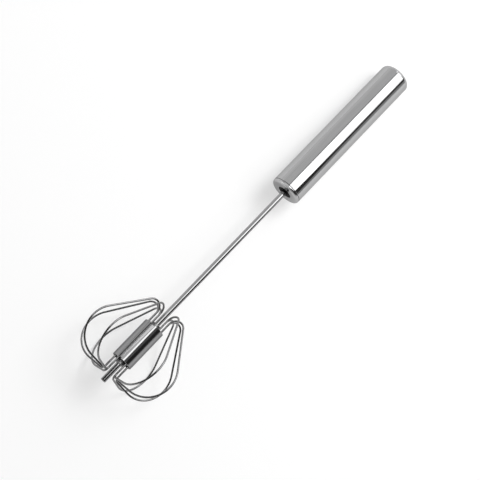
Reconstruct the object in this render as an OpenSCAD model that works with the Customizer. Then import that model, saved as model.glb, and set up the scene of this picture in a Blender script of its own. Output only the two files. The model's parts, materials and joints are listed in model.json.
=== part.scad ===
// Hand-push rotary whisk, lying on a table.
// Pushing the handle down the stem spins the whisk, and a spring pushes the handle back.
// The tool is drawn along its own axis, with its tip at 0, and is then laid down by lay().

/* [Overall] */
// Length from the tip of the stem to the top of the handle
total_length = 310; // [290:1:340]

/* [Handle] */
// Outer diameter of the handle tube
handle_d = 23.5; // [21:0.5:28]
// Length of the handle, with its end cap
handle_length = 125; // [115:1:140]
// Wall of the handle tube
handle_wall = 0.7; // [0.5:0.1:1.2]
// Radius of the rounded edge at the closed top
top_round = 3.5; // [2:0.25:5]

/* [End cap] */
// Height of the visible rim of the cap
cap_rim = 2.2; // [1.6:0.1:3.5]
// Radius of the rim's rounded lower edge
cap_round = 1.9; // [0.6:0.1:2.2]
// Thickness of the cap's face
cap_plate = 1.2; // [0.8:0.1:1.5]
// Diameter of the hole in the cap's face
cap_hole_d = 10.6; // [8:0.2:12]
// Wall of the spigot that fits into the handle tube
cap_wall = 1.2; // [0.8:0.1:1.8]
// Length of the spigot above the rim
cap_spigot = 7; // [5:0.5:10]

/* [Guide bush] */
// Length of the guide bush above the cap's spigot
bush_head = 6; // [4:0.5:9]
// Depth of the bush's nose below the cap's face
nose_depth = 0.7; // [0.3:0.1:1]
// Depth of the lead-in cone at the mouth of the bush
bush_lead = 1.4; // [0.8:0.1:2]

/* [Stem] */
// Outer diameter of the stem tube
stem_d = 4; // [3.6:0.1:5]
// Bore of the stem tube
stem_bore = 3; // [2.8:0.1:3.2]
// Length of the stem below the hub sleeve
stub_length = 18.2; // [14:0.2:24]
// Height of the tip plug's head
tip_head = 1.2; // [0.8:0.1:2]
// Length of the tip plug's shank
tip_shank = 8; // [5:0.5:14]
// Chamfer round the tip
tip_chamfer = 0.4; // [0.2:0.1:0.7]

/* [Whisk hub] */
// Outer diameter of the hub sleeve
sleeve_d = 16; // [14.5:0.5:20]
// Wall of the hub sleeve
sleeve_wall = 0.8; // [0.5:0.1:1.2]
// Length of the hub sleeve
sleeve_length = 32.2; // [28:0.2:40]
// Depth of the hub core inside each end of the sleeve
core_recess = 0.8; // [0.5:0.1:3]
// Diameter of the collars that hold the core on the stem
collar_d = 7.6; // [6.5:0.1:8.5]
// Height of each collar
collar_h = 3.2; // [1.5:0.1:4]

/* [Wire loops] */
// Diameter of the wire
wire_d = 1.4; // [1:0.1:1.8]
// Angle of the inner pair of each fan above and below level
fan_inner_angle = 25; // [20:1:28]
// Angle of the outer pair of each fan above and below level
fan_outer_angle = 57; // [52:1:62]
// Widest radius of the whisk, to the middle of the wire
whisk_r = 38.8; // [35:0.2:44]
// Radius of the loops' round belly
belly_r = 19.2; // [16:0.2:22]
// Height of the widest place above the lower end of the sleeve
belly_rise = 7.4; // [5:0.2:10]
// Angle of the loops' straight flank to the axis
flank_angle = 36.5; // [32:0.5:38]
// Bend radius at the top of the loops
turn_r = 5.6; // [4.5:0.1:6.5]
// Bend radius at the foot of the loops
foot_r = 2.5; // [2:0.1:3]

/* [Drive] */
// Width of the twisted strip
strip_w = 2.5; // [2.2:0.1:2.6]
// Thickness of the twisted strip
strip_t = 0.7; // [0.5:0.1:0.8]
// Length of strip in one full twist
strip_lead = 22; // [18:1:30]
// Length of strip inside the stem when the handle is up
strip_tail = 8; // [5:0.5:12]
// Length of the strip's flat end in the top plug
strip_flat = 9; // [7:0.5:10]
// Diameter of the drive nut's flange
nut_flange_d = 17; // [14:0.5:19]
// Thickness of the drive nut's flange
nut_flange_h = 3; // [2:0.25:4]
// Diameter of the drive nut's body
nut_body_d = 11; // [9:0.5:12]
// Depth of the stem's socket in the drive nut
nut_socket = 6; // [5:0.5:9]
// Height of the twisted slot in the drive nut
nut_slot = 6; // [4:0.5:9]
// Diameter of the pivot on top of the drive nut
pivot_d = 8; // [7:0.25:8.5]
// Height of the pivot on top of the drive nut
pivot_h = 1.6; // [1:0.1:2.2]

/* [Spring] */
// Thickness of the spring seat
seat_h = 3.2; // [2.8:0.1:4.5]
// Height of the spigots that centre the spring
spigot_h = 4; // [3:0.25:5]
// Diameter of the spring's wire
spring_wire = 1.1; // [0.8:0.1:1.2]
// Diameter of the coil, to the middle of the wire
spring_d = 14.8; // [13.5:0.2:16]
// Turns of the spring
spring_turns = 15; // [12:1:17]
// Thickness of the top plug above its spigot
plug_h = 12; // [11:0.5:15]
// Diameter of the pin that holds the strip
pin_d = 1.2; // [0.8:0.1:1.3]
// Length of the pin
pin_length = 14; // [10:0.5:18]

/* [Fits] */
// Radial gap of a running fit
run_gap = 0.05; // [0.03:0.01:0.1]
// Radial gap between pieces that are pressed together
press_gap = 0.02; // [0.01:0.01:0.04]
// Radial gap of the spring seat in the handle tube
slide_gap = 0.3; // [0.25:0.05:0.5]
// Axial gap between faces that rest on each other
face_gap = 0.2; // [0.1:0.05:0.3]
// Gap round the strip in the drive nut's slot
slot_gap = 0.15; // [0.1:0.01:0.2]
// Gap round each wire in the hub
wire_gap = 0.08; // [0.05:0.01:0.15]

/* [Hidden] */
$fn = 64;
eps = 0.5;

handle_r = handle_d / 2;
tube_in = handle_r - handle_wall;
top_round_in = max(top_round - handle_wall, 0.3);
handle_base = total_length - handle_length;
tube_base = handle_base + cap_rim + press_gap;
tube_ceiling = total_length - handle_wall;

cap_face = handle_base + cap_plate;
spigot_r = tube_in - press_gap;
rim_land = 0.2;
rim_round = min(cap_round, cap_rim - rim_land);
spigot_in = spigot_r - cap_wall;
spigot_top = handle_base + cap_rim + cap_spigot;
cap_hole_r = cap_hole_d / 2;

stem_r = stem_d / 2;
bore_r = stem_bore / 2;
bush_shoulder = spigot_top + press_gap;
bush_top = bush_shoulder + bush_head;

sleeve_base = stub_length;
sleeve_top = sleeve_base + sleeve_length;
sleeve_in = sleeve_d / 2 - sleeve_wall;
core_base = sleeve_base + core_recess;
core_top = sleeve_top - core_recess;
core_r = sleeve_in - press_gap;

wire_r = wire_d / 2;
leg_r = sleeve_in - wire_gap - wire_r;
belly_level = sleeve_base + belly_rise;
belly_mid = whisk_r - belly_r;
belly_low = belly_level - belly_r;
flank_foot = [belly_mid + belly_r * cos(flank_angle), belly_level + belly_r * sin(flank_angle)];
turn_mid = leg_r + turn_r;
turn_level = flank_foot.y - (turn_r + (turn_mid - flank_foot.x) * cos(flank_angle)) / sin(flank_angle);
foot_mid = leg_r + foot_r;
foot_level = belly_low + foot_r;
half_fan = [fan_outer_angle, fan_inner_angle, -fan_inner_angle, -fan_outer_angle];
loop_turns = [for (side = [90, 270]) for (a = half_fan) side + a];

nut_base = bush_top + face_gap;
stem_top = nut_base + nut_socket;
nut_top = stem_top + nut_slot;
pivot_top = nut_top + pivot_h;
seat_base = nut_top + face_gap;
seat_top = seat_base + seat_h;
seat_r = tube_in - slide_gap;
strip_half = sqrt(pow(strip_w, 2) + pow(strip_t, 2)) / 2;
strip_hole_r = strip_half + slide_gap;
strip_base = stem_top - strip_tail;
plug_top = tube_ceiling - press_gap;
plug_base = plug_top - plug_h;
plug_r = tube_in - press_gap;
pin_level = plug_base + strip_flat / 2;
spring_r = spring_d / 2;
spring_base = seat_top + face_gap;
spring_top = plug_base - face_gap;
spring_rings = 8;
spring_inner_r = spring_r * cos(180 / spring_rings) - spring_wire / 2;
spigot_coil_r = spring_inner_r - slide_gap;

// Round bends of a loop, in order round it, with its straights between them.
// Each has its middle from the axis, its height, its radius, its two angles and its steps.
wire_sides = 8;
loop_bends = [
    [turn_mid, turn_level, turn_r, 180, flank_angle, 12],
    [belly_mid, belly_level, belly_r, flank_angle, -90, 14],
    [foot_mid, foot_level, foot_r, -90, -180, 6]
];
loop_points = [
    for (b = loop_bends) for (i = [0 : b[5]]) for (k = [0 : wire_sides - 1])
    let (turn = b[3] + (b[4] - b[3]) * i / b[5], side = 360 * (k + 0.5) / wire_sides)
    let (reach = b[2] + wire_r * cos(side))
    [b[0] + reach * cos(turn), wire_r * sin(side), b[1] + reach * sin(turn)]
];

// Angle of the strip at a height, which is zero at its flat end
function strip_angle(z) = (z - plug_base) * 360 / strip_lead;

// Tilt at which the lying tool touches the table with its handle and with its lowest loops
function drop_handle(t) =
    (total_length - top_round) * sin(t) + (handle_r - top_round) * cos(t) + top_round;
function drop_loops(t) =
    belly_level * sin(t) + belly_mid * sin(fan_outer_angle) * cos(t)
    + belly_r * sqrt(pow(sin(t), 2) + pow(sin(fan_outer_angle) * cos(t), 2)) + wire_r;
function find_tilt(low, high, n) =
    let (mid = (low + high) / 2)
    n == 0 ? mid
    : drop_handle(mid) < drop_loops(mid) ? find_tilt(mid, high, n - 1)
    : find_tilt(low, mid, n - 1);
steepest = 20;
halvings = 40;
tilt = find_tilt(0, steepest, halvings);
tip_height = drop_loops(tilt);
near_x = -(stem_r - tip_chamfer) * sin(tilt);
far_x = (total_length - top_round) * cos(tilt) + (handle_r - top_round) * sin(tilt) + top_round;

// Spring: a helix with a closer turn at each end
spring_sides = 6;
end_turn_gap = 0.6;
end_pitch = spring_wire + end_turn_gap;
spring_rise = spring_top - spring_base - spring_wire;
coil_pitch = (spring_rise - 2 * end_pitch) / (spring_turns - 2);
function spring_height(n) =
    n < 1 ? n * end_pitch
    : n > spring_turns - 1 ? spring_rise - (spring_turns - n) * end_pitch
    : end_pitch + (n - 1) * coil_pitch;
function spring_point(n) = [
    spring_r * cos(360 * n),
    spring_r * sin(360 * n),
    spring_base + spring_wire / 2 + spring_height(n)
];
spring_steps = spring_turns * spring_rings;
spring_path = [for (i = [0 : spring_steps]) spring_point(i / spring_rings)];
spring_ring_points = [
    for (i = [0 : spring_steps]) for (k = [0 : spring_sides - 1])
    let (turn = 360 * i / spring_rings, side = 360 * k / spring_sides)
    spring_path[i] + spring_wire / 2 * [cos(side) * cos(turn), cos(side) * sin(turn), sin(side)]
];
spring_gap = min([
    for (i = [0 : spring_steps - spring_rings])
    norm(spring_path[i + spring_rings] - spring_path[i])
]) - spring_wire;
echo(least_gap_between_spring_turns = spring_gap);

// Triangles of a tube from one ring of points to the next, each ring with the same sides
function between_rings(here, there, sides) = [
    for (k = [0 : sides - 1]) for (half = [0, 1])
    let (next = (k + 1) % sides)
    half == 0 ? [here + k, there + k, there + next] : [here + k, there + next, here + next]
];
function tube_faces(rings, sides) = [
    for (i = [0 : rings - 2]) each between_rings(i * sides, (i + 1) * sides, sides)
];
function end_faces(rings, sides) = [
    [for (k = [0 : sides - 1]) k],
    [for (k = [sides - 1 : -1 : 0]) (rings - 1) * sides + k]
];
loop_rings = len(loop_points) / wire_sides;
loop_faces = concat(
    tube_faces(loop_rings, wire_sides),
    between_rings((loop_rings - 1) * wire_sides, 0, wire_sides)
);
spring_faces = concat(
    tube_faces(spring_steps + 1, spring_sides),
    end_faces(spring_steps + 1, spring_sides)
);

// Lays the upright tool down, centred over the table
module lay() {
    translate([-(near_x + far_x) / 2, 0, tip_height])
        rotate([0, 90 + tilt, 0])
            children();
}

// A ring or a disc between two heights
module ring(outer, inner, from, to) {
    difference() {
        translate([0, 0, from]) cylinder(r = outer, h = to - from);
        translate([0, 0, from - eps]) cylinder(r = inner, h = to - from + 2 * eps);
    }
}

module disc(outer, from, to) {
    translate([0, 0, from]) cylinder(r = outer, h = to - from);
}

// Half outline of a round bar whose upper edge is rounded
module round_topped(outer, from, to, edge) {
    translate([0, from]) square([outer, to - from - edge]);
    translate([0, from]) square([outer - edge, to - from]);
    translate([outer - edge, to - edge]) circle(edge);
}

// Half outline of the rim of the cap, with its lower edge rounded
module rim_outline() {
    intersection() {
        translate([cap_hole_r, handle_base]) square([handle_r - cap_hole_r, cap_rim]);
        union() {
            translate([cap_hole_r, handle_base]) square([handle_r - rim_round - cap_hole_r, cap_rim]);
            translate([cap_hole_r, handle_base + rim_round]) square([handle_r - cap_hole_r, cap_rim]);
            translate([handle_r - rim_round, handle_base + rim_round]) circle(rim_round);
        }
    }
}

module wire_loop(number) {
    color("silver") lay() rotate([0, 0, loop_turns[number - 1]])
        polyhedron(points = loop_points, faces = loop_faces);
}

module handle_tube() {
    color("silver") lay() rotate_extrude() difference() {
        round_topped(handle_r, tube_base, total_length, top_round);
        round_topped(tube_in, tube_base - eps, tube_ceiling, top_round_in);
    }
}

module end_cap() {
    color("silver") lay() difference() {
        union() {
            rotate_extrude() rim_outline();
            disc(spigot_r, handle_base + cap_rim - eps, spigot_top);
        }
        disc(spigot_in, cap_face, spigot_top + eps);
        disc(cap_hole_r, handle_base - eps, cap_face + eps);
    }
}

module guide_bush() {
    color("black") lay() difference() {
        union() {
            disc(cap_hole_r - run_gap, handle_base + nose_depth, bush_top - eps);
            disc(spigot_in - run_gap, cap_face + press_gap, bush_top - eps);
            disc(tube_in - run_gap, bush_shoulder, bush_top);
        }
        disc(stem_r + run_gap, handle_base, bush_top + eps);
        translate([0, 0, handle_base + nose_depth])
            cylinder(r1 = stem_r + bush_lead, r2 = stem_r + run_gap, h = bush_lead);
    }
}

module top_plug() {
    color("white") lay() difference() {
        union() {
            rotate_extrude() round_topped(plug_r, plug_base, plug_top, top_round_in);
            disc(spigot_coil_r, plug_base - spigot_h, plug_base + eps);
        }
        disc(strip_hole_r, plug_base - spigot_h - eps, plug_base);
        translate([-strip_w / 2 - press_gap, -strip_t / 2 - press_gap, plug_base - eps])
            cube([strip_w + 2 * press_gap, strip_t + 2 * press_gap, strip_flat + eps + press_gap]);
        translate([0, 0, pin_level]) rotate([90, 0, 0])
            cylinder(r = pin_d / 2 + press_gap, h = pin_length + 2 * press_gap, center = true);
    }
}

module anchor_pin() {
    color("gray") lay() translate([0, 0, pin_level]) rotate([90, 0, 0])
        cylinder(d = pin_d, h = pin_length, center = true);
}

// The strip is twisted below the top plug and flat inside it
module spiral_strip() {
    color("silver") lay() {
        difference() {
            translate([-strip_w / 2, -strip_t / 2, plug_base]) cube([strip_w, strip_t, strip_flat]);
            translate([0, 0, pin_level]) rotate([90, 0, 0])
                cylinder(r = pin_d / 2 + press_gap, h = strip_w, center = true);
        }
        twisted(strip_w, strip_t, strip_base, plug_base);
    }
}

// A twisted bar between two heights, which follows the strip's angle
module twisted(width, thick, from, to) {
    translate([0, 0, from]) rotate([0, 0, strip_angle(from)])
        linear_extrude(height = to - from, twist = strip_angle(from) - strip_angle(to),
            slices = ceil((to - from) * 36 / strip_lead), segments = 4)
            square([width, thick], center = true);
}

module return_spring() {
    color("gray") lay() polyhedron(points = spring_ring_points, faces = spring_faces);
}

module spring_seat() {
    color("white") lay() difference() {
        union() {
            disc(seat_r, seat_base, seat_top);
            disc(spigot_coil_r, seat_top - eps, seat_top + spigot_h);
        }
        disc(pivot_d / 2 + run_gap, seat_base - eps, seat_base + pivot_h);
        disc(strip_hole_r, seat_base, seat_top + spigot_h + eps);
    }
}

module drive_nut() {
    color("white") lay() difference() {
        union() {
            disc(nut_flange_d / 2, nut_base, nut_base + nut_flange_h);
            disc(nut_body_d / 2, nut_base, nut_top);
            disc(pivot_d / 2, nut_top - eps, pivot_top);
        }
        disc(stem_r + press_gap, nut_base - eps, stem_top);
        twisted(strip_w + 2 * slot_gap, strip_t + 2 * slot_gap, stem_top - eps, pivot_top + eps);
    }
}

module stem() {
    color("silver") lay() ring(stem_r, bore_r, tip_head + press_gap, stem_top - press_gap);
}

module tip_plug() {
    color("silver") lay() {
        cylinder(r1 = stem_r - tip_chamfer, r2 = stem_r, h = tip_chamfer);
        disc(stem_r, tip_chamfer, tip_head);
        disc(bore_r - press_gap, tip_head, tip_head + tip_shank);
    }
}

// The core holds the legs of the loops in grooves round its edge
module hub_core() {
    color("gray") lay() difference() {
        ring(core_r, stem_r + press_gap, core_base, core_top);
        for (turn = loop_turns) rotate([0, 0, turn]) {
            translate([leg_r, 0, core_base - eps])
                cylinder(r = wire_r + wire_gap, h = core_top - core_base + 2 * eps);
            translate([leg_r, -wire_r - wire_gap, core_base - eps])
                cube([sleeve_in, wire_d + 2 * wire_gap, core_top - core_base + 2 * eps]);
        }
    }
}

module hub_sleeve() {
    color("silver") lay() ring(sleeve_d / 2, sleeve_in, sleeve_base, sleeve_top);
}

module collar(from) {
    color("silver") lay() ring(collar_d / 2, stem_r + press_gap, from, from + collar_h);
}

module lower_collar() {
    collar(core_base - press_gap - collar_h);
}

module upper_collar() {
    collar(core_top + press_gap);
}

handle_tube();
end_cap();
guide_bush();
top_plug();
anchor_pin();
spiral_strip();
return_spring();
spring_seat();
drive_nut();
stem();
tip_plug();
hub_core();
hub_sleeve();
lower_collar();
upper_collar();
wire_loop(1);  // wire_loop_1
wire_loop(2);  // wire_loop_2
wire_loop(3);  // wire_loop_3
wire_loop(4);  // wire_loop_4
wire_loop(5);  // wire_loop_5
wire_loop(6);  // wire_loop_6
wire_loop(7);  // wire_loop_7
wire_loop(8);  // wire_loop_8
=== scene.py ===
"""Finished pieces, metals and studio for a hand-push rotary whisk that lies on a table."""

import json
import math

import bmesh
import bpy
from mathutils import Matrix, Vector


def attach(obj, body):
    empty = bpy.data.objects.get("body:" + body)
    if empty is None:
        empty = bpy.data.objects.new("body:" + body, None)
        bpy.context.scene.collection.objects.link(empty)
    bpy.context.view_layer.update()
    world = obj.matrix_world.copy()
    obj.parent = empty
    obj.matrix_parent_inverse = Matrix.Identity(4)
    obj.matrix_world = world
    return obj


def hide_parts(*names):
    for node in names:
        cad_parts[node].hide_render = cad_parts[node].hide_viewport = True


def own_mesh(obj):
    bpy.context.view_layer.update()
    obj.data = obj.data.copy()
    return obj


bl_info = {
    "name": "Push Whisk",
    "version": (1, 0, 0),
    "blender": (4, 5, 0),
    "location": "View3D > Sidebar > Whisk",
    "description": "Makes the finished pieces of a hand-push rotary whisk and its studio",
    "category": "Object",
}

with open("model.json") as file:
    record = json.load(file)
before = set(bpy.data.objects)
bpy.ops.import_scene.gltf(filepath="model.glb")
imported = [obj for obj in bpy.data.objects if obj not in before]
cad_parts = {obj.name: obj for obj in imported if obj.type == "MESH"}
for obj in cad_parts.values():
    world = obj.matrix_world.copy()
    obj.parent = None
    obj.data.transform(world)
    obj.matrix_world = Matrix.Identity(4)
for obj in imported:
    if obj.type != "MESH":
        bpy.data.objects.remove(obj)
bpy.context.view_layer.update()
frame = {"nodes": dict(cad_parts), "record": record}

# The tool's own axes, with its tip as the origin: above it, aside of it and along it to the handle
mounts = {mount["name"]: mount for mount in frame["record"]["mounts"]}
TIP = Vector(mounts["tip_foot"]["pos_m"])
ALONG = -Vector(mounts["tip_foot"]["axis"]).normalized()
ABOVE = (Vector((0, 0, 1)) - ALONG * ALONG.z).normalized()
ASIDE = ALONG.cross(ABOVE)
TOOL = Matrix.Translation(TIP) @ Matrix((ABOVE, ASIDE, ALONG)).transposed().to_4x4()
TO_TOOL = TOOL.inverted()

GRIP_RADIUS = mounts["handle_grip"]["dims"]["r_mm"] / 1000
MM = 0.001

# Clearances and small bevels that several pieces share
FIT = 0.02 * MM
RUNNING_GAP = 0.05 * MM
SMALL_EDGE = 0.08 * MM
SLEEVE_EDGE = 0.2 * MM
COLLAR_EDGE = 0.35 * MM

# Distances in metres under which points are joined and slivers are taken out
WELD = 1e-7
SLIVER = 1e-8

# Faces round and along the turned, rolled and bent pieces
HANDLE_STEPS = 192
BUSH_STEPS = 96
STEM_STEPS = 64
SLEEVE_STEPS = 152
SLEEVE_CUTS = 15
WIRE_SIDES = 16
TURN_STEPS = 28
BELLY_STEPS = 40
FOOT_STEPS = 14
SPRING_SIDES = 12
COIL_STEPS = 32
SHARP_ANGLE = math.radians(35)

# Angles of the loops round the stem, from above: two fans of four
LOOP_ANGLES = [side + lean for side in (90, 270) for lean in (57, 25, -25, -57)]

# Cards that are seen only in reflections: name, distance from the tool's axis and glow, then places
# along the tool, each with the card's two angles from above
FAR_OFF = 0.9
CLOSE_BY = 0.12
BLACK_GLOW = 0.04
CARDS = (
    (
        "black_card",
        FAR_OFF,
        BLACK_GLOW,
        ((-0.6, 13, 70), (0.2, 14, 70), (0.34, 24, 90), (0.5, 46, 72), (0.62, 53, 65), (2.0, 55, 66)),
    ),
    ("tip_left_card", CLOSE_BY, BLACK_GLOW, ((-0.2, -80, -6), (0.03, -80, -6))),
    ("tip_right_card", CLOSE_BY, BLACK_GLOW, ((-0.2, 6, 80), (0.03, 6, 80))),
    (
        "grey_card",
        0.92,
        0.34,
        ((-0.6, 70, 78), (0.2, 70, 78), (0.5, 72, 86), (0.62, 65, 80), (2.0, 66, 80)),
    ),
    ("head_bright_card", FAR_OFF, 1.3, ((0.06, -43, -1), (0.24, -43, -1))),
    ("head_white_card", 0.8, 3.6, ((0.06, -1, 13), (0.24, -1, 13))),
    ("head_shade_card", 0.75, 0.2, ((0.06, 13, 36), (0.24, 13, 36))),
    ("head_line_card", FAR_OFF, 0.08, ((0.06, -62, -43), (0.24, -62, -43))),
    ("head_side_card", FAR_OFF, 0.98, ((0.06, -94, -62), (0.24, -94, -62))),
    ("band_edge_card", FAR_OFF, 0.4, ((0.4, -14, -7), (2.0, -14, -7))),
)
# A card before the tip, seen only in reflections, that glows as a painted highlight on the rims and ends
# that face the tip.
FRONT_GLOW = 1.5
FRONT_CORNERS = ((-0.02, -1.2, -0.4), (-0.02, 0.02, -0.8), (0.7, 0.02, -0.7), (0.7, -1.2, -0.35))

# Lamps: width and length, then distance from the tool's axis, angle from above and place along the tool,
# then the place along the tool that they face
SOFTBOX = ((1.35, 1.2), (1.3, 20.5, 0.84), 0.84)
END_LIGHT = ((2.0, 2.6), (2.0, 0, 2.9), 0.2)
KEY_LIGHT = ((0.9, 0.9), (2.6, 11, 1.5), 0.2)

FLOOR_RADIUS = 6.0
FLOOR_SIDES = 64


def length(name, description, default):
    """A size in metres that a user may change."""
    return bpy.props.FloatProperty(
        name=name, description=description, default=default, min=0.0, unit="LENGTH", precision=5
    )


def colour(name, description, default):
    """A surface colour that a user may change."""
    return bpy.props.FloatVectorProperty(
        name=name, description=description, default=default, min=0.0, max=1.0, size=3, subtype="COLOR"
    )


def angle(name, description, degrees):
    """An angle that a user may change, given in degrees."""
    return bpy.props.FloatProperty(
        name=name, description=description, default=math.radians(degrees), subtype="ANGLE"
    )


def share(name, description, default):
    """A value from 0 to 1 that a user may change."""
    return bpy.props.FloatProperty(
        name=name, description=description, default=default, min=0.0, max=1.0, subtype="FACTOR"
    )


def power(name, description, default):
    """A lamp's power in watts that a user may change."""
    return bpy.props.FloatProperty(name=name, description=description, default=default, min=0.0)


class HandleSizes(bpy.types.PropertyGroup):
    """Sizes of the handle tube, its end cap and its bush, with heights from the stem's tip."""

    radius: length("Radius", "Outer radius of the handle", GRIP_RADIUS)
    base: length("Base", "Height of the handle's lower face", 185 * MM)
    top: length("Top", "Height of the handle's closed top", 310 * MM)
    wall: length("Wall", "Wall of the handle tube", 0.7 * MM)
    top_round: length("Top Round", "Radius of the top's rounded edge", 3.5 * MM)
    cap_rim: length("Cap Rim", "Height of the end cap's rim", 2.2 * MM)
    cap_round: length("Cap Round", "Radius of the rim's rounded lower edge", 1.9 * MM)
    cap_plate: length("Cap Plate", "Thickness of the end cap's face", 1.2 * MM)
    cap_hole: length("Cap Hole", "Radius of the hole in the end cap", 5.3 * MM)
    spigot: length("Spigot", "Height of the cap's spigot above its rim", 7 * MM)
    spigot_wall: length("Spigot Wall", "Wall of the cap's spigot", 1.2 * MM)
    bush_head: length("Bush Head", "Height of the bush above the spigot", 6 * MM)
    nose_depth: length("Nose Depth", "Depth of the bush's nose in the hole", 0.7 * MM)
    seam: length("Seam", "Width of the open seam between the tube and the cap", 0.45 * MM)
    edge: length("Edge", "Width of the small bevels along edges", SMALL_EDGE)
    nose_dish: length("Nose Dish", "Depth of the hollow nose of the bush", 2.4 * MM)
    nose_lip: length("Nose Lip", "Width of the flat lip round the hollow nose", 0.5 * MM)


class WhiskSizes(bpy.types.PropertyGroup):
    """Sizes of the stem, the hub and the wire loops, with heights from the stem's tip."""

    stem_radius: length("Stem Radius", "Outer radius of the stem", 2 * MM)
    stem_bore: length("Stem Bore", "Radius of the stem's bore", 1.5 * MM)
    stem_top: length("Stem Top", "Height of the stem's upper end", 206.4 * MM)
    tip_head: length("Tip Head", "Height of the plug's head at the tip", 1.2 * MM)
    tip_shank: length("Tip Shank", "Length of the tip plug's shank", 8 * MM)
    tip_chamfer: length("Tip Chamfer", "Chamfer round the tip", 0.4 * MM)
    sleeve_radius: length("Sleeve Radius", "Outer radius of the hub sleeve", 8 * MM)
    sleeve_wall: length("Sleeve Wall", "Wall of the hub sleeve", 0.8 * MM)
    sleeve_base: length("Sleeve Base", "Height of the sleeve's lower end", 18.2 * MM)
    sleeve_top: length("Sleeve Top", "Height of the sleeve's upper end", 50.4 * MM)
    core_recess: length("Core Recess", "Depth of the core in the sleeve's ends", 0.8 * MM)
    collar_radius: length("Collar Radius", "Outer radius of the collars", 3.8 * MM)
    collar_height: length("Collar Height", "Height of each collar", 3.2 * MM)
    wire_radius: length("Wire Radius", "Radius of the loops' wire", 0.7 * MM)
    leg_radius: length("Leg Radius", "Distance of the loops' legs from the axis", 6.42 * MM)
    widest: length("Widest", "Greatest radius of the whisk, to the middle of the wire", 38.8 * MM)
    belly: length("Belly", "Radius of the loops' round belly", 19.2 * MM)
    belly_level: length("Belly Level", "Height of the widest place", 25.6 * MM)
    turn: length("Turn", "Bend radius at the top of the loops", 5.6 * MM)
    foot: length("Foot", "Bend radius at the foot of the loops", 2.5 * MM)
    flank: angle("Flank", "Angle of the loops' straight flank to the axis", 36.5)
    seam_left: angle("Seam Left", "Place of the left edge of the sleeve's open seam, from above", -23.3)
    seam_right: angle("Seam Right", "Place of the middle of the seam's right edge, from above", -7.6)
    seam_lean: angle("Seam Lean", "Turn of the seam's right edge over the sleeve's height", 10.0)
    seam_round: length("Seam Round", "Radius of the edges along the seam", 0.12 * MM)


class SpringSizes(bpy.types.PropertyGroup):
    """Sizes of the return spring in the handle, with heights from the stem's tip."""

    wire: length("Wire", "Radius of the spring's wire", 0.55 * MM)
    coil: length("Coil", "Radius of the coil, to the middle of the wire", 7.4 * MM)
    base: length("Base", "Height of the spring's lower end", 216.02 * MM)
    top: length("Top", "Height of the spring's upper end", 297.08 * MM)
    end_pitch: length("End Pitch", "Rise of the close turn at each end", 1.7 * MM)
    turns: bpy.props.IntProperty(name="Turns", description="Turns of the spring", default=15, min=4)


class Finishes(bpy.types.PropertyGroup):
    """Colours and gloss of the materials; the stem, sleeve, wire and collar metals, the edge tints and
    the black plastic are made darker as painted shade.
    """

    steel: colour("Steel", "Polished steel", (0.44, 0.44, 0.443))
    steel_rough: share("Steel Roughness", "Mean roughness of the polished steel", 0.08)
    # Painted shade: the wire's steel is far darker than real steel, so that the thin wires look dark all
    # over, as their dark reflections make them.
    wire: colour("Wire", "Drawn steel wire", (0.24, 0.24, 0.242))
    wire_rough: share("Wire Roughness", "Mean roughness of the wire", 0.04)
    # Painted shade: the stem's steel is a darker copy of the handle's, so that the stem's sides show
    # darker reflections.
    spindle: colour("Spindle Steel", "Polished steel of the stem", (0.34, 0.34, 0.343))
    # Painted shade: the sleeve's steel is a still darker copy of the polished steel, which darkens its
    # reflections as shade among the wires would.
    sleeve: colour("Sleeve Steel", "Polished steel of the hub sleeve", (0.28, 0.28, 0.283))
    spindle_rough: share("Spindle Roughness", "Mean roughness of the stem and the hub sleeve", 0.05)
    hub: colour("Hub Metal", "Turned metal of the hub's core", (0.48, 0.48, 0.485))
    hub_rough: share("Hub Roughness", "Mean roughness of the hub's core", 0.2)
    # Painted shade: the collars get a dark copy of the hub's metal, which stands for the shadow in the
    # hub's ends.
    collar: colour("Collar Metal", "Dark turned metal of the collars", (0.27, 0.27, 0.272))
    collar_rough: share("Collar Roughness", "Mean roughness of the collars", 0.3)
    spring: colour("Spring Steel", "Drawn spring steel", (0.42, 0.42, 0.43))
    spring_rough: share("Spring Roughness", "Mean roughness of the spring", 0.28)
    # Partly real black plastic, partly painted shade: it is set darker than black plastic is, so that the
    # hole it is seen through looks as dark as its shade.
    plastic: colour("Black Plastic", "Moulded black plastic", (0.003, 0.003, 0.003))
    plastic_rough: share("Plastic Roughness", "Mean roughness of the black plastic", 0.42)
    nylon: colour("Nylon", "Natural nylon", (0.78, 0.76, 0.70))
    nylon_rough: share("Nylon Roughness", "Mean roughness of the nylon", 0.5)
    # Painted shade: the edge tint darkens the metals where they are seen at a slant, standing in for the
    # shaded floor that their edges reflect.
    edge_tint: colour("Edge Tint", "Tint of the metals where they are seen at a slant", (0.6, 0.6, 0.6))
    # Painted shade: the sleeve's edge tint darkens it further where it is seen at a slant.
    sleeve_shade_edge_tint: colour(
        "Sleeve Edge Tint", "Tint of the sleeve where it is seen at a slant", (0.35, 0.35, 0.35)
    )


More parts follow.
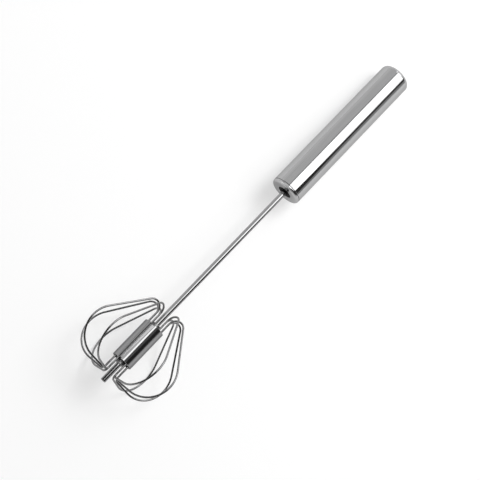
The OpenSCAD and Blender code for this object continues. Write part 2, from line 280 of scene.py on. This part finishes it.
class StageSettings(bpy.types.PropertyGroup):
    """Camera, floor and studio light."""

    aim: length("Aim", "Point on the tool's axis that the camera looks at, from the tip", 137 * MM)
    aim_aside: length("Aim Aside", "Distance of that point from the axis", 0.75 * MM)
    distance: length("Distance", "Distance of the camera from that point", 921 * MM)
    lens: bpy.props.FloatProperty(name="Lens", description="Focal length in millimetres", default=98.9)
    lean: angle("Lean", "Angle of the view from square to the tool's axis, towards the whisk", 15.9)
    roll: angle("Roll", "Angle of the tool's axis in the picture", 46.06)
    floor: colour("Floor", "Pale floor", (0.98, 0.98, 0.98))
    floor_white: share("Floor White", "Share of plain white in the floor that is seen", 0.5)
    horizon: share("Horizon", "Brightness of the pale room near the floor", 0.93)
    ceiling: share("Ceiling", "Brightness of the pale room above", 0.77)
    ceiling_start: share("Ceiling Start", "Steepness of a view up at which it meets the ceiling", 0.55)
    room_light: share("Room Light", "Share of the room's brightness that lights the tool", 0.46)
    softbox_watts: power("Softbox", "Power of the large soft light in watts", 12.0)
    end_watts: power("End Light", "Power of the soft light beyond the handle in watts", 20.0)
    key_watts: power("Key Light", "Power of the lamp that gives the tool its shadow in watts", 29.0)


def shade(mesh):
    """Smooth shading with crisp edges where faces meet at a sharp angle."""
    mesh.polygons.foreach_set("use_smooth", [True] * len(mesh.polygons))
    mesh.set_sharp_from_angle(angle=SHARP_ANGLE)


def piece(name, bm, body, slot, *nodes, finish=None):
    """Makes a finished piece of a body from a bmesh in tool coordinates, in place of its CAD nodes.

    Its material is that of its slot, unless a finish of its own is named.
    """
    bmesh.ops.remove_doubles(bm, verts=bm.verts, dist=WELD)
    bmesh.ops.dissolve_degenerate(bm, dist=SLIVER, edges=bm.edges)
    bmesh.ops.recalc_face_normals(bm, faces=bm.faces)
    bmesh.ops.transform(bm, matrix=TOOL, verts=bm.verts)
    mesh = bpy.data.meshes.new(name)
    bm.to_mesh(mesh)
    bm.free()
    shade(mesh)
    thing = bpy.data.objects.new(name, mesh)
    bpy.context.scene.collection.objects.link(thing)
    mesh.materials.append(bpy.data.materials[finish or slot])
    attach(thing, body)
    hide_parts(*nodes)
    return thing


def bend(middle, radius, start, end, steps=10):
    """Points of a round stretch of an outline, by its middle, its radius and two angles in degrees."""
    angles = [math.radians(start + (end - start) * i / steps) for i in range(steps + 1)]
    return [(middle[0] + radius * math.cos(a), middle[1] + radius * math.sin(a)) for a in angles]


def turned(outline, steps, closed=True):
    """A bmesh turned about the tool's axis from an outline of radii and heights."""
    bm = bmesh.new()
    verts = [bm.verts.new((radius, 0, height)) for radius, height in outline]
    edges = [bm.edges.new(pair) for pair in zip(verts, verts[1:])]
    if closed:
        edges.append(bm.edges.new((verts[-1], verts[0])))
    bmesh.ops.spin(
        bm,
        geom=verts + edges,
        cent=(0, 0, 0),
        axis=(0, 0, 1),
        angle=math.tau,
        steps=steps,
        use_merge=True,
    )
    return bm


def ring_outline(outer, inner, base, top, edge):
    """Outline of a ring with small bevels along its four edges."""
    return [
        (inner + edge, base),
        (outer - edge, base),
        (outer, base + edge),
        (outer, top - edge),
        (outer - edge, top),
        (inner + edge, top),
        (inner, top - edge),
        (inner, base + edge),
    ]


class Nodes:
    """A material that starts anew, with short ways to add shader nodes to it."""

    def __init__(self, name):
        self.material = bpy.data.materials.get(name) or bpy.data.materials.new(name)
        self.material.use_nodes = True
        self.tree = self.material.node_tree
        self.tree.nodes.clear()
        self.out = self.tree.nodes.new("ShaderNodeOutputMaterial")
        self.shader = self.tree.nodes.new("ShaderNodeBsdfPrincipled")
        self.tree.links.new(self.shader.outputs["BSDF"], self.out.inputs["Surface"])

    def add(self, kind, **settings):
        """Adds a node and sets its options."""
        node = self.tree.nodes.new(kind)
        for key, value in settings.items():
            setattr(node, key, value)
        return node

    def link(self, source, target):
        """Links an output socket to an input socket."""
        self.tree.links.new(source, target)

    def tool_place(self):
        """Place of a surface point in the tool's own axes."""
        place = self.add("ShaderNodeTexCoord")
        turn = self.add("ShaderNodeMapping", vector_type="POINT")
        turn.inputs["Location"].default_value = TO_TOOL.to_translation()
        turn.inputs["Rotation"].default_value = TO_TOOL.to_euler()
        self.link(place.outputs["Object"], turn.inputs["Vector"])
        return turn.outputs["Vector"]

    def stretched(self, place, scale):
        """A place stretched by a scale along each of the tool's axes."""
        stretch = self.add("ShaderNodeMapping", vector_type="POINT")
        stretch.inputs["Scale"].default_value = scale
        self.link(place, stretch.inputs["Vector"])
        return stretch.outputs["Vector"]

    def noise(self, place, scale, detail, roughness=0.55):
        """Noise at a place, as a value from 0 to 1."""
        noise = self.add("ShaderNodeTexNoise")
        noise.inputs["Scale"].default_value = scale
        noise.inputs["Detail"].default_value = detail
        noise.inputs["Roughness"].default_value = roughness
        self.link(place, noise.inputs["Vector"])
        return noise.outputs["Fac"]

    def spread(self, value, low, high):
        """Noise brought to a range, from the middle part that most of it lies in."""
        spread = self.add("ShaderNodeMapRange")
        spread.inputs["From Min"].default_value = 0.3
        spread.inputs["From Max"].default_value = 0.7
        spread.inputs["To Min"].default_value = low
        spread.inputs["To Max"].default_value = high
        self.link(value, spread.inputs["Value"])
        return spread.outputs["Result"]

    def sum(self, first, second):
        """Two values added up."""
        node = self.add("ShaderNodeMath", operation="ADD")
        self.link(first, node.inputs[0])
        self.link(second, node.inputs[1])
        return node.outputs[0]

    def tint(self, value, base, spread):
        """A colour that varies a little about its base with a value."""
        ramp = self.add("ShaderNodeValToRGB")
        ramp.color_ramp.elements[0].position = 0.25
        ramp.color_ramp.elements[1].position = 0.75
        ramp.color_ramp.elements[0].color = (*[c * (1 - spread) for c in base], 1)
        ramp.color_ramp.elements[1].color = (*[min(c * (1 + spread), 1) for c in base], 1)
        self.link(value, ramp.inputs["Fac"])
        self.link(ramp.outputs["Color"], self.shader.inputs["Base Color"])

    def bump(self, value, height, strength):
        """Small relief from a value, with its height in metres."""
        bump = self.add("ShaderNodeBump")
        bump.inputs["Strength"].default_value = strength
        bump.inputs["Distance"].default_value = height
        self.link(value, bump.inputs["Height"])
        self.link(bump.outputs["Normal"], self.shader.inputs["Normal"])


def polished_metal(name, base, rough, streaks, edge_tint):
    """Polished metal with fine streaks along the tool, so many to a metre, and faint smudges."""
    nodes = Nodes(name)
    place = nodes.tool_place()
    drawn_out = nodes.stretched(place, (1.0, 1.0, 0.02))
    marks = nodes.noise(drawn_out, scale=streaks, detail=4.0, roughness=0.6)
    smudges = nodes.noise(place, scale=90.0, detail=2.0)
    nodes.shader.inputs["Metallic"].default_value = 1.0
    nodes.shader.inputs["Specular Tint"].default_value = (*edge_tint, 1)
    nodes.tint(marks, base, spread=0.08)
    grain = nodes.spread(marks, low=rough * 0.75, high=rough * 1.25)
    wipe = nodes.spread(smudges, low=-0.02, high=0.03)
    nodes.link(nodes.sum(grain, wipe), nodes.shader.inputs["Roughness"])
    nodes.bump(marks, height=0.02 * MM, strength=0.12)


def moulded_plastic(name, base, rough, grain):
    """Moulded plastic with a fine grain, so many grains to a metre."""
    nodes = Nodes(name)
    place = nodes.tool_place()
    pores = nodes.noise(place, scale=grain, detail=3.0)
    cloud = nodes.noise(place, scale=grain * 0.08, detail=2.0)
    nodes.tint(cloud, base, spread=0.12)
    matt = nodes.spread(pores, low=rough * 0.85, high=rough * 1.15)
    nodes.link(matt, nodes.shader.inputs["Roughness"])
    nodes.shader.inputs["Specular IOR Level"].default_value = 0.15
    nodes.bump(pores, height=0.03 * MM, strength=0.15)


class WHISK_OT_finishes(bpy.types.Operator):
    """Makes the metals and plastics, and gives each CAD node the one of its slot."""

    bl_idname = "whisk.finishes"
    bl_label = "Finishes"

    def execute(self, context):
        look = context.scene.whisk_finishes
        # Painted shade: each metal's edge tint darkens it where it is seen at a slant.
        polished_metal("polished_steel", look.steel, look.steel_rough, 2600.0, look.edge_tint)
        # Painted shade: a darker copy of the polished steel for the stem.
        polished_metal("stem_shaded_steel", look.spindle, look.spindle_rough, 3000.0, look.edge_tint)
        # Painted shade: the sleeve's darker steel and darker edge tint.
        polished_metal("sleeve_shaded_steel", look.sleeve, look.spindle_rough, 3000.0, look.sleeve_shade_edge_tint)
        # Painted shade: the wire's steel is darkened to stand in for the dark reflections of the thin
        # wires.
        polished_metal("wire_steel", look.wire, look.wire_rough, 4200.0, look.edge_tint)
        polished_metal("hub_metal", look.hub, look.hub_rough, 3000.0, look.edge_tint)
        # Painted shade: the collars' dark metal stands for the shadow in the hub's ends.
        polished_metal("collar_shade_metal", look.collar, look.collar_rough, 3000.0, look.edge_tint)
        polished_metal("spring_steel", look.spring, look.spring_rough, 3600.0, look.edge_tint)
        # Partly painted shade: the black plastic is darkened for the hole it is seen through.
        moulded_plastic("black_plastic", look.plastic, look.plastic_rough, 2400.0)
        moulded_plastic("nylon", look.nylon, look.nylon_rough, 1800.0)
        slots = {part["node"]: part["material_slot"] for part in frame["record"]["subparts"]}
        for name, node in frame["nodes"].items():
            node.data.materials.clear()
            node.data.materials.append(bpy.data.materials[slots[name]])
        return {"FINISHED"}


class WHISK_OT_handle(bpy.types.Operator):
    """Makes the handle tube, its end cap and the black guide bush."""

    bl_idname = "whisk.handle"
    bl_label = "Handle"

    def execute(self, context):
        size = context.scene.whisk_handle
        stem = context.scene.whisk_whisk.stem_radius
        rim_top = size.base + size.cap_rim
        tube_base = rim_top + size.seam
        inner = size.radius - size.wall
        edge = size.edge
        corner = (size.radius - size.top_round, size.top - size.top_round)
        tube = (
            [(0, size.top)]
            + bend(corner, size.top_round, 90, 0, steps=16)
            + [(size.radius, tube_base + edge), (size.radius - edge, tube_base), (inner, tube_base)]
            + bend(corner, size.top_round - size.wall, 0, 90)
            + [(0, size.top - size.wall)]
        )
        tube = turned(tube, HANDLE_STEPS, closed=False)
        piece("handle_shell", tube, "handle", "polished_steel", "handle_tube")

        spigot = inner - FIT
        spigot_in = spigot - size.spigot_wall
        spigot_top = rim_top + size.spigot
        plate = size.base + size.cap_plate
        hole_round = 2 * edge
        hole_corner = (size.cap_hole + hole_round, size.base + hole_round)
        rim_corner = (size.radius - size.cap_round, size.base + size.cap_round)
        cap = (
            bend(hole_corner, hole_round, 180, 270, steps=4)
            + bend(rim_corner, size.cap_round, 270, 360, steps=14)
            + [(size.radius, rim_top - edge), (size.radius - edge, rim_top), (spigot, rim_top)]
            + [(spigot, spigot_top), (spigot_in, spigot_top), (spigot_in, plate), (size.cap_hole, plate)]
        )
        piece("lower_cap", turned(cap, HANDLE_STEPS), "handle", "polished_steel", "end_cap")

        nose = size.base + size.nose_depth
        dish = nose + size.nose_dish
        bore = stem + RUNNING_GAP
        head = inner - RUNNING_GAP
        neck = spigot_in - RUNNING_GAP
        tip = size.cap_hole - RUNNING_GAP
        throat = stem + 2.2 * RUNNING_GAP
        shoulder = spigot_top + FIT
        bush = [
            (bore, dish),
            (throat, dish - RUNNING_GAP),
            (size.cap_hole - size.nose_lip, nose),
            (tip - edge, nose),
            (tip, nose + edge),
            (tip, plate + FIT),
            (neck, plate + FIT),
            (neck, shoulder),
            (head, shoulder),
            (head, shoulder + size.bush_head),
            (bore, shoulder + size.bush_head),
        ]
        piece("stem_bush", turned(bush, BUSH_STEPS), "handle", "black_plastic", "guide_bush")
        return {"FINISHED"}


class WHISK_OT_stem(bpy.types.Operator):
    """Makes the stem tube and the plug in its tip."""

    bl_idname = "whisk.stem"
    bl_label = "Stem"

    def execute(self, context):
        size = context.scene.whisk_whisk
        tube_base = size.tip_head + FIT
        tube = ring_outline(size.stem_radius, size.stem_bore, tube_base, size.stem_top, SMALL_EDGE)
        tube = turned(tube, STEM_STEPS)
        piece("stem_tube", tube, "spindle", "polished_steel", "stem", finish="stem_shaded_steel")
        shank = size.stem_bore - FIT
        shank_top = size.tip_head + size.tip_shank
        inward, upward = size.tip_chamfer * 0.3, size.tip_chamfer * 0.35
        plug = [
            (0, 0),
            (size.stem_radius - size.tip_chamfer, 0),
            (size.stem_radius - inward, upward),
            (size.stem_radius, size.tip_chamfer),
            (size.stem_radius, size.tip_head - SMALL_EDGE),
            (size.stem_radius - SMALL_EDGE, size.tip_head),
            (shank, size.tip_head),
            (shank, shank_top),
            (0, shank_top),
        ]
        plug = turned(plug, STEM_STEPS, closed=False)
        piece("stem_tip", plug, "spindle", "polished_steel", "tip_plug", finish="stem_shaded_steel")
        return {"FINISHED"}


def rolled_sleeve(size):
    """A bmesh of the hub sleeve, rolled from sheet with an open seam that narrows towards the tip."""
    inner = size.sleeve_radius - size.sleeve_wall
    outline = ring_outline(size.sleeve_radius, inner, size.sleeve_base, size.sleeve_top, SLEEVE_EDGE)
    around_it = math.tau + size.seam_left - size.seam_right
    bm = bmesh.new()
    verts = [bm.verts.new((radius, 0, height)) for radius, height in outline]
    edges = [bm.edges.new(pair) for pair in zip(verts, verts[1:] + verts[:1])]
    bmesh.ops.spin(
        bm,
        geom=verts + edges,
        cent=(0, 0, 0),
        axis=(0, 0, 1),
        angle=around_it,
        steps=SLEEVE_STEPS,
    )
    long_edges = [e for e in bm.edges if e.calc_length() > size.sleeve_radius]
    bmesh.ops.subdivide_edges(bm, edges=long_edges, cuts=SLEEVE_CUTS, use_grid_fill=True)
    bmesh.ops.holes_fill(bm, edges=[e for e in bm.edges if e.is_boundary], sides=0)
    middle = (size.sleeve_base + size.sleeve_top) / 2
    slack = 0.001
    for vert in bm.verts:
        turned_by = (math.atan2(vert.co.y, vert.co.x) + slack) % math.tau - slack
        rise = (vert.co.z - middle) / (size.sleeve_top - size.sleeve_base)
        lean = size.seam_right + size.seam_lean * rise * (1 - turned_by / around_it)
        vert.co.rotate(Matrix.Rotation(lean, 3, "Z"))
    ends = [face for face in bm.faces if len(face.verts) > len(outline)]
    seam_edges = [e for face in ends for e in face.edges if e.calc_length() > 2 * size.sleeve_wall]
    bmesh.ops.bevel(
        bm,
        geom=seam_edges,
        affect="EDGES",
        offset=size.seam_round,
        segments=4,
        profile=0.5,
        material=-1,
    )
    return bm


class WHISK_OT_hub(bpy.types.Operator):
    """Makes the hub sleeve and the two collars at its ends."""

    bl_idname = "whisk.hub"
    bl_label = "Hub"

    def execute(self, context):
        size = context.scene.whisk_whisk
        tube = rolled_sleeve(size)
        piece("sleeve_tube", tube, "spindle", "polished_steel", "hub_sleeve", finish="sleeve_shaded_steel")
        low_top = size.sleeve_base + size.core_recess - FIT
        high_base = size.sleeve_top - size.core_recess + FIT
        collars = (
            ("collar_low", "lower_collar", low_top - size.collar_height),
            ("collar_high", "upper_collar", high_base),
        )
        bore = size.stem_radius + FIT
        for name, node, base in collars:
            collar = ring_outline(size.collar_radius, bore, base, base + size.collar_height, COLLAR_EDGE)
            collar = turned(collar, STEM_STEPS)
            piece(name, collar, "spindle", "hub_metal", node, finish="collar_shade_metal")
        return {"FINISHED"}


def ring_of(geometry):
    """Vertices and edges of the last ring that an operator made."""
    return [g for g in geometry if isinstance(g, (bmesh.types.BMVert, bmesh.types.BMEdge))]


def swept_bend(bm, ring, middle, turned_by, steps):
    """Sweeps a ring of wire round a middle in the loop's plane."""
    made = bmesh.ops.spin(
        bm,
        geom=ring,
        cent=(middle[0], 0, middle[1]),
        axis=(0, 1, 0),
        angle=turned_by,
        steps=steps,
    )
    return ring_of(made["geom_last"])


def swept_straight(bm, ring, offset):
    """Draws a ring of wire out along a straight."""
    edges = [g for g in ring if isinstance(g, bmesh.types.BMEdge)]
    made = ring_of(bmesh.ops.extrude_edge_only(bm, edges=edges)["geom"])
    verts = [g for g in made if isinstance(g, bmesh.types.BMVert)]
    bmesh.ops.translate(bm, vec=offset, verts=verts)
    return made


class WHISK_OT_loops(bpy.types.Operator):
    """Bends the wire loops of the two fans."""

    bl_idname = "whisk.loops"
    bl_label = "Wire Loops"

    def execute(self, context):
        size = context.scene.whisk_whisk
        slope = size.flank
        along_slope = Vector((math.cos(slope), math.sin(slope)))
        belly_middle = Vector((size.widest - size.belly, size.belly_level))
        belly_end = belly_middle + along_slope * size.belly
        turn_middle = size.leg_radius + size.turn
        drop = (size.turn + (turn_middle - belly_end.x) * along_slope.x) / along_slope.y
        turn_level = belly_end.y - drop
        turn_end = Vector((turn_middle, turn_level)) + along_slope * size.turn
        flank = belly_end - turn_end
        foot_middle = size.leg_radius + size.foot
        foot_level = size.belly_level - size.belly + size.foot
        start = Matrix.Translation((size.leg_radius, 0, foot_level))
        for number, degrees in enumerate(LOOP_ANGLES, 1):
            bm = bmesh.new()
            bmesh.ops.create_circle(
                bm, cap_ends=False, segments=WIRE_SIDES, radius=size.wire_radius, matrix=start
            )
            ring = list(bm.verts) + list(bm.edges)
            ring = swept_straight(bm, ring, (0, 0, turn_level - foot_level))
            ring = swept_bend(bm, ring, (turn_middle, turn_level), math.pi - slope, TURN_STEPS)
            ring = swept_straight(bm, ring, (flank.x, 0, flank.y))
            ring = swept_bend(bm, ring, belly_middle, math.pi / 2 + slope, BELLY_STEPS)
            ring = swept_straight(bm, ring, (foot_middle - belly_middle.x, 0, 0))
            swept_bend(bm, ring, (foot_middle, foot_level), math.pi / 2, FOOT_STEPS)
            place = Matrix.Rotation(math.radians(degrees), 3, "Z")
            bmesh.ops.rotate(bm, cent=(0, 0, 0), matrix=place, verts=bm.verts)
            piece(f"loop_{number}", bm, "spindle", "wire_steel", f"wire_loop_{number}")
        return {"FINISHED"}


class WHISK_OT_spring(bpy.types.Operator):
    """Winds the return spring, which shortens as the handle is pushed."""

    bl_idname = "whisk.spring"
    bl_label = "Return Spring"

    def execute(self, context):
        size = context.scene.whisk_spring
        rise = size.top - size.base - 2 * size.wire
        middle_pitch = (rise - 2 * size.end_pitch) / (size.turns - 2)
        bm = bmesh.new()
        start = Matrix.Translation((size.coil, 0, size.base + size.wire))
        start = start @ Matrix.Rotation(math.pi / 2, 4, "X")
        bmesh.ops.create_circle(bm, cap_ends=False, segments=SPRING_SIDES, radius=size.wire, matrix=start)
        ring = list(bm.verts) + list(bm.edges)
        for turns, pitch in ((1, size.end_pitch), (size.turns - 2, middle_pitch), (1, size.end_pitch)):
            made = bmesh.ops.spin(
                bm,
                geom=ring,
                cent=(0, 0, 0),
                axis=(0, 0, 1),
                dvec=(0, 0, pitch / COIL_STEPS),
                angle=math.tau * turns,
                steps=COIL_STEPS * turns,
            )
            ring = ring_of(made["geom_last"])
        bmesh.ops.holes_fill(bm, edges=[e for e in bm.edges if e.is_boundary], sides=SPRING_SIDES)
        spring = piece("coil_spring", bm, "handle", "spring_steel", "return_spring")
        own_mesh(spring)
        return {"FINISHED"}


def reflection_card(name, bm, glow):
    """A card of the studio, seen only in reflections."""
    mesh = bpy.data.meshes.new(name)
    bm.to_mesh(mesh)
    bm.free()
    mesh.materials.append(glow_material(f"{name}_glow", glow))
    card = bpy.data.objects.new(name, mesh)
    bpy.context.scene.collection.objects.link(card)
    card.visible_camera = False
    card.visible_diffuse = False
    card.visible_shadow = False


def strip_card(name, distance, glow, stations):
    """A card along the tool, by its two angles from above at each station."""
    bm = bmesh.new()
    ends = []
    for along, left, right in stations:
        ends.append([bm.verts.new(around(distance, degrees, along)) for degrees in (left, right)])
    for (near, far), (next_near, next_far) in zip(ends, ends[1:]):
        bm.faces.new((near, far, next_far, next_near))
    reflection_card(name, bm, glow)


def seen_rays(tree):
    """A socket that is 1 for what the camera, a reflection or a clear piece shows, and 0 for light."""
    rays = tree.nodes.new("ShaderNodeLightPath")
    seen = rays.outputs["Is Camera Ray"]
    for name in ("Is Glossy Ray", "Is Transmission Ray"):
        either = tree.nodes.new("ShaderNodeMath")
        either.operation = "MAXIMUM"
        tree.links.new(seen, either.inputs[0])
        tree.links.new(rays.outputs[name], either.inputs[1])
        seen = either.outputs["Value"]
    return seen


def blended(tree, value, low, high, end=1.0):
    """A socket that runs smoothly from one number to another, as a value runs from 0 to its end."""
    blend = tree.nodes.new("ShaderNodeMapRange")
    blend.interpolation_type = "SMOOTHSTEP"
    blend.inputs["From Max"].default_value = end
    blend.inputs["To Min"].default_value = low
    blend.inputs["To Max"].default_value = high
    tree.links.new(value, blend.inputs["Value"])
    return blend.outputs["Result"]


def floor_paper(base, white):
    """Matt pale floor that looks whiter than its light makes it, and keeps the shadows."""
    nodes = Nodes("floor_paper")
    tree = nodes.tree
    nodes.shader.inputs["Base Color"].default_value = (*base, 1)
    nodes.shader.inputs["Roughness"].default_value = 0.9
    nodes.shader.inputs["Specular IOR Level"].default_value = 0.0
    glow = tree.nodes.new("ShaderNodeEmission")
    mix = tree.nodes.new("ShaderNodeMixShader")
    tree.links.new(blended(tree, seen_rays(tree), 0.0, white), mix.inputs["Fac"])
    tree.links.new(nodes.shader.outputs["BSDF"], mix.inputs[1])
    tree.links.new(glow.outputs["Emission"], mix.inputs[2])
    tree.links.new(mix.outputs["Shader"], nodes.out.inputs["Surface"])
    return nodes.material


def glow_material(name, glow):
    """Card of the studio that glows evenly though it is no lamp; seen only in reflections, it paints a
    reflection into the metal.
    """
    nodes = Nodes(name)
    nodes.shader.inputs["Base Color"].default_value = (0, 0, 0, 1)
    nodes.shader.inputs["Specular IOR Level"].default_value = 0.0
    nodes.shader.inputs["Emission Color"].default_value = (glow, glow, glow, 1)
    nodes.shader.inputs["Emission Strength"].default_value = 1.0
    return nodes.material


def around(distance, degrees, along):
    """A place in the studio at a distance and an angle round the tool's axis, from above to aside."""
    turn = math.radians(degrees)
    return TIP + ALONG * along + (ABOVE * math.cos(turn) + ASIDE * math.sin(turn)) * distance


def soft_light(name, watts, size, place, faces):
    """A large rectangular lamp at a place round the tool, which faces a point of the tool's axis."""
    light = bpy.data.lights.new(name, "AREA")
    light.shape = "RECTANGLE"
    light.size, light.size_y = size
    light.energy = watts
    lamp = bpy.data.objects.new(name, light)
    place = around(*place)
    back = (place - TIP - ALONG * faces).normalized()
    side = ALONG.cross(back).normalized()
    axes = Matrix((side, back.cross(side), back)).transposed().to_4x4()
    lamp.matrix_world = Matrix.Translation(place) @ axes
    bpy.context.scene.collection.objects.link(lamp)
    return lamp


class WHISK_OT_stage(bpy.types.Operator):
    """Sets the camera, the pale floor and the soft light."""

    bl_idname = "whisk.stage"
    bl_label = "Stage"

    def execute(self, context):
        stage = context.scene.whisk_stage
        scene = context.scene
        scene.view_settings.view_transform = "Standard"

        aim = TIP + ALONG * stage.aim + ASIDE * stage.aim_aside
        back = ABOVE * math.cos(stage.lean) - ALONG * math.sin(stage.lean)
        rise = (ALONG - back * ALONG.dot(back)).normalized()
        right = rise.cross(back)
        across = rise * math.cos(stage.roll) + right * math.sin(stage.roll)
        up = rise * math.sin(stage.roll) - right * math.cos(stage.roll)
        camera = bpy.data.objects.new("camera", bpy.data.cameras.new("camera"))
        camera.data.lens = stage.lens
        camera.data.sensor_width = 36
        camera.data.clip_start = 0.01
        place = Matrix((across, up, back)).transposed().to_4x4()
        camera.matrix_world = Matrix.Translation(aim + back * stage.distance) @ place
        scene.collection.objects.link(camera)
        scene.camera = camera

        bm = bmesh.new()
        bmesh.ops.create_circle(bm, cap_ends=True, segments=FLOOR_SIDES, radius=FLOOR_RADIUS)
        mesh = bpy.data.meshes.new("floor")
        bm.to_mesh(mesh)
        bm.free()
        mesh.materials.append(floor_paper(stage.floor, stage.floor_white))
        floor = bpy.data.objects.new("floor", mesh)
        scene.collection.objects.link(floor)

        world = bpy.data.worlds.new("room")
        scene.world = world
        world.use_nodes = True
        tree = world.node_tree
        direction = tree.nodes.new("ShaderNodeTexCoord").outputs["Generated"]
        heights = tree.nodes.new("ShaderNodeSeparateXYZ")
        tree.links.new(direction, heights.inputs["Vector"])
        walls = blended(tree, heights.outputs["Z"], stage.horizon, stage.ceiling, stage.ceiling_start)
        tree.links.new(walls, tree.nodes["Background"].inputs["Color"])
        strength = blended(tree, seen_rays(tree), stage.room_light, 1.0)
        tree.links.new(strength, tree.nodes["Background"].inputs["Strength"])

        soft_light("softbox", stage.softbox_watts, *SOFTBOX)
        soft_light("end_light", stage.end_watts, *END_LIGHT)
        key = soft_light("key_light", stage.key_watts, *KEY_LIGHT)
        key.visible_glossy = False

        for card in CARDS:
            strip_card(*card)
        # The front card glows though it is no lamp: a painted highlight on the rims and ends that face
        # the tip.
        bm = bmesh.new()
        bm.faces.new([bm.verts.new(TOOL @ Vector(corner)) for corner in FRONT_CORNERS])
        reflection_card("front_card", bm, FRONT_GLOW)
        return {"FINISHED"}


class WHISK_PT_panel(bpy.types.Panel):
    """Lists the steps that make the whisk."""

    bl_idname = "WHISK_PT_panel"
    bl_label = "Whisk"
    bl_space_type = "VIEW_3D"
    bl_region_type = "UI"
    bl_category = "Whisk"

    def draw(self, context):
        for operator in OPERATORS:
            self.layout.operator(operator.bl_idname)


OPERATORS = (
    WHISK_OT_finishes,
    WHISK_OT_handle,
    WHISK_OT_stem,
    WHISK_OT_hub,
    WHISK_OT_loops,
    WHISK_OT_spring,
    WHISK_OT_stage,
)
GROUPS = {
    "whisk_handle": HandleSizes,
    "whisk_whisk": WhiskSizes,
    "whisk_spring": SpringSizes,
    "whisk_finishes": Finishes,
    "whisk_stage": StageSettings,
}


def register():
    """Registers the settings, the steps and the panel."""
    for group in GROUPS.values():
        bpy.utils.register_class(group)
    for name, group in GROUPS.items():
        setattr(bpy.types.Scene, name, bpy.props.PointerProperty(type=group))
    for operator in OPERATORS:
        bpy.utils.register_class(operator)
    bpy.utils.register_class(WHISK_PT_panel)


def unregister():
    """Takes the panel, the steps and the settings out again."""
    bpy.utils.unregister_class(WHISK_PT_panel)
    for operator in reversed(OPERATORS):
        bpy.utils.unregister_class(operator)
    for name, group in GROUPS.items():
        delattr(bpy.types.Scene, name)
        bpy.utils.unregister_class(group)


def main():
    """Makes the whisk and its studio."""
    register()
    bpy.ops.whisk.finishes()
    bpy.ops.whisk.handle()
    bpy.ops.whisk.stem()
    bpy.ops.whisk.hub()
    bpy.ops.whisk.loops()
    bpy.ops.whisk.spring()
    bpy.ops.whisk.stage()


if __name__ == "__main__":
    main()
